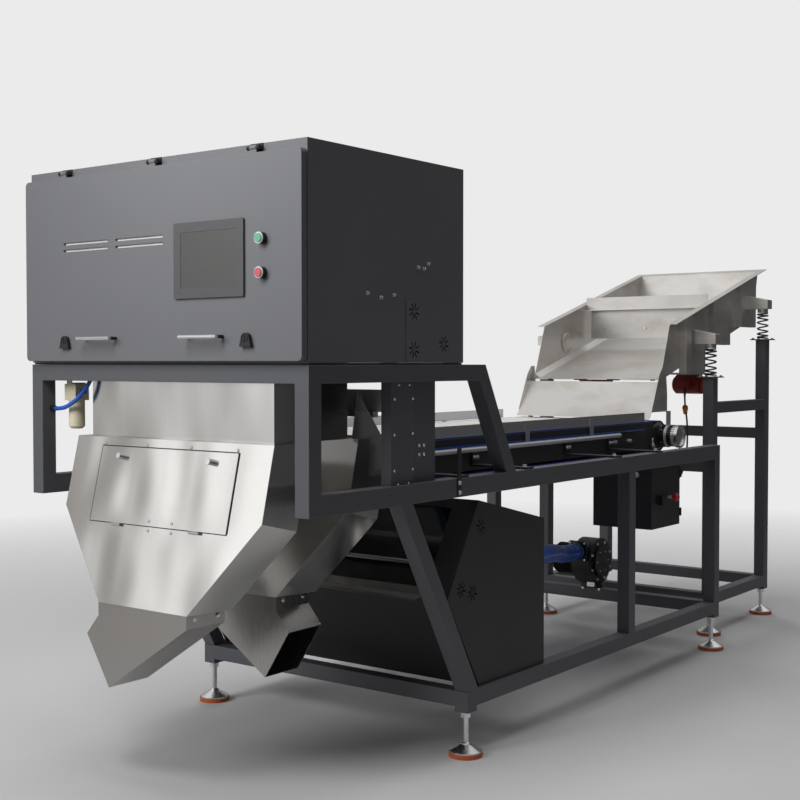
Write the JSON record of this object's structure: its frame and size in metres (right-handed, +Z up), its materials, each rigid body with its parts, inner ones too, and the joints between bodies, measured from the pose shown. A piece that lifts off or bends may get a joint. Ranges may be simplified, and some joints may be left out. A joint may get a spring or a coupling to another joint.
{
  "type": "belt optical colour sorter",
  "caption": "Belt-type optical colour sorter: sprung vibratory feeder, belt conveyor, optical cabinet with a top-hinged door, leaning discharge hoppers with boot spouts on a tube frame.",
  "frame": {"origin": "floor level under the middle of the machine's length and width", "axes": "+Z up, -Y towards the cabinet door and front hopper, +X to the right seen from the front"},
  "size_m": [1.47, 4.634, 2.203],
  "materials": {
    "coat": "textured dark grey powder coat",
    "cabinet_coat": "fine textured grey powder coat",
    "stainless": "brushed stainless sheet",
    "zinc": "bright zinc",
    "black_plastic": "moulded black",
    "pad_rubber": "orange-red rubber",
    "glass": "clear plate",
    "screen": "black housing, dark panel",
    "green": "translucent green",
    "red": "signal red",
    "optics": "dark anodised",
    "electronics": "light grey",
    "belt": "off-white top, blue edges",
    "spring_steel": "blackened wire",
    "motor_red": "dark red enamel",
    "cast": "black enamel",
    "aluminium": "plain",
    "filter_bowl": "cream",
    "blue_hose": "blue flexible hose",
    "cable": "dark grey sheath"
  },
  "bodies": {
    "machine": {"main_frame": "coat", "feeder_stand": "coat", "levelling_feet": "zinc", "foot_pads": "pad_rubber", "cabinet_shell": "cabinet_coat", "side_cover_plate": "cabinet_coat", "fan_frames": "black_plastic", "hinge_leaves": "black_plastic", "optics_units": "optics", "control_rack": "electronics", "inspection_windows": "glass", "discharge_duct": "stainless", "front_hopper": "stainless", "rear_hopper": "stainless", "front_spout": "stainless", "rear_spout": "stainless", "chamber_plates": "stainless", "side_columns": "coat", "ejector_bar": "aluminium", "lower_cabinet": "coat", "window_trim": "stainless", "conveyor_side_plates": "coat", "conveyor_bed": "coat", "conveyor_belt": "belt", "belt_guards": "stainless", "conveyor_brackets": "coat", "roller_bearings": "cast", "feed_chute": "stainless", "front_springs": "spring_steel", "rear_springs": "spring_steel", "control_box": "coat", "control_gear": "electronics", "blower": "cast", "air_filter": "filter_bowl", "hoses": "blue_hose", "vibrator_cables": "cable"},
    "cabinet_door": {"cabinet_door": "cabinet_coat", "door_handles": "zinc", "touch_screen": "screen", "button_collars": "zinc"},
    "door_latch_left": {"door_latch_left": "black_plastic"},
    "door_latch_right": {"door_latch_right": "black_plastic"},
    "start_button": {"start_button": "green"},
    "stop_button": {"stop_button": "red"},
    "fan_rotor_1": {"fan_rotor_1": "black_plastic"},
    "fan_rotor_2": {"fan_rotor_2": "black_plastic"},
    "fan_rotor_3": {"fan_rotor_3": "black_plastic"},
    "hopper_door": {"hopper_door": "stainless"},
    "hopper_knob_left": {"hopper_knob_left": "zinc"},
    "hopper_knob_right": {"hopper_knob_right": "zinc"},
    "head_roller": {"head_roller": "zinc"},
    "tail_roller": {"tail_roller": "zinc", "drive_pulley": "black_plastic"},
    "feeder": {"feeder_trough": "stainless", "spring_caps": "zinc", "vibrator_motors": "motor_red"},
    "feeder_gate": {"feeder_gate": "stainless"},
    "control_box_door": {"control_box_door": "coat"},
    "main_switch": {"main_switch": "black_plastic"},
    "emergency_stop": {"emergency_stop": "red"}
  },
  "joints": [
    {"name": "cabinet_door_hinge", "type": "hinge", "parent": "machine", "child": "cabinet_door", "pos_m": [0, -2.2505, 2.188], "axis": [-1, 0, 0], "range_deg": [0, 80]},
    {"name": "door_latch_left_turn", "type": "hinge", "parent": "cabinet_door", "child": "door_latch_left", "pos_m": [-0.46, -2.262, 1.57], "axis": [0, 1, 0], "range_deg": [0, 90]},
    {"name": "door_latch_right_turn", "type": "hinge", "parent": "cabinet_door", "child": "door_latch_right", "pos_m": [0.46, -2.262, 1.57], "axis": [0, -1, 0], "range_deg": [0, 90]},
    {"name": "start_button_push", "type": "slide", "parent": "cabinet_door", "child": "start_button", "axis": [0, 1, 0], "range_m": [0, 0.004], "stiffness_N_per_m": 400},
    {"name": "stop_button_push", "type": "slide", "parent": "cabinet_door", "child": "stop_button", "axis": [0, 1, 0], "range_m": [0, 0.004], "stiffness_N_per_m": 400},
    {"name": "fan_rotor_1_spin", "type": "hinge", "parent": "machine", "child": "fan_rotor_1", "pos_m": [0.6815, -1.669, 1.67], "axis": [1, 0, 0], "continuous": true},
    {"name": "fan_rotor_2_spin", "type": "hinge", "parent": "machine", "child": "fan_rotor_2", "pos_m": [0.6815, -1.669, 1.535], "axis": [1, 0, 0], "continuous": true},
    {"name": "fan_rotor_3_spin", "type": "hinge", "parent": "machine", "child": "fan_rotor_3", "pos_m": [0.6815, -1.485, 1.557], "axis": [1, 0, 0], "continuous": true},
    {"name": "hopper_door_hinge", "type": "hinge", "parent": "machine", "child": "hopper_door", "pos_m": [0, -2.25707, 0.91086], "axis": [1, 0, 0], "range_deg": [0, 150]},
    {"name": "hopper_knob_left_turn", "type": "hinge", "parent": "hopper_door", "child": "hopper_knob_left", "pos_m": [-0.229, -2.19351, 1.14858], "axis": [0, -0.9721, 0.2346], "range_deg": [0, 90]},
    {"name": "hopper_knob_right_turn", "type": "hinge", "parent": "hopper_door", "child": "hopper_knob_right", "pos_m": [0.229, -2.19351, 1.14858], "axis": [0, 0.9721, -0.2346], "range_deg": [0, 90]},
    {"name": "head_roller_spin", "type": "hinge", "parent": "machine", "child": "head_roller", "pos_m": [0, -1.434, 1.106], "axis": [1, 0, 0], "continuous": true},
    {"name": "tail_roller_spin", "type": "hinge", "parent": "machine", "child": "tail_roller", "pos_m": [0, 0.879, 1.106], "axis": [1, 0, 0], "continuous": true},
    {"name": "feeder_shake", "type": "slide", "parent": "machine", "child": "feeder", "axis": [0, -0.8192, 0.5736], "range_m": [-0.0015, 0.0015], "stiffness_N_per_m": 240000, "springref_m": 0.00294, "deforming": ["front_springs", "rear_springs"]},
    {"name": "feeder_gate_lift", "type": "slide", "parent": "feeder", "child": "feeder_gate", "axis": [0, 0, 1], "range_m": [-0.05, 0.06]},
    {"name": "control_box_door_hinge", "type": "hinge", "parent": "machine", "child": "control_box_door", "pos_m": [0.641, 0.648, 0.835], "axis": [0, 0, 1], "range_deg": [0, 110]},
    {"name": "main_switch_turn", "type": "hinge", "parent": "control_box_door", "child": "main_switch", "pos_m": [0.64, 0.4, 0.823], "axis": [1, 0, 0], "range_deg": [0, 90]},
    {"name": "emergency_stop_push", "type": "slide", "parent": "control_box_door", "child": "emergency_stop", "axis": [-1, 0, 0], "range_m": [0, 0.005], "stiffness_N_per_m": 600}
  ],
  "couplings": [
    {"joint": "head_roller_spin", "follows": "tail_roller_spin", "ratio": 1}
  ]
}
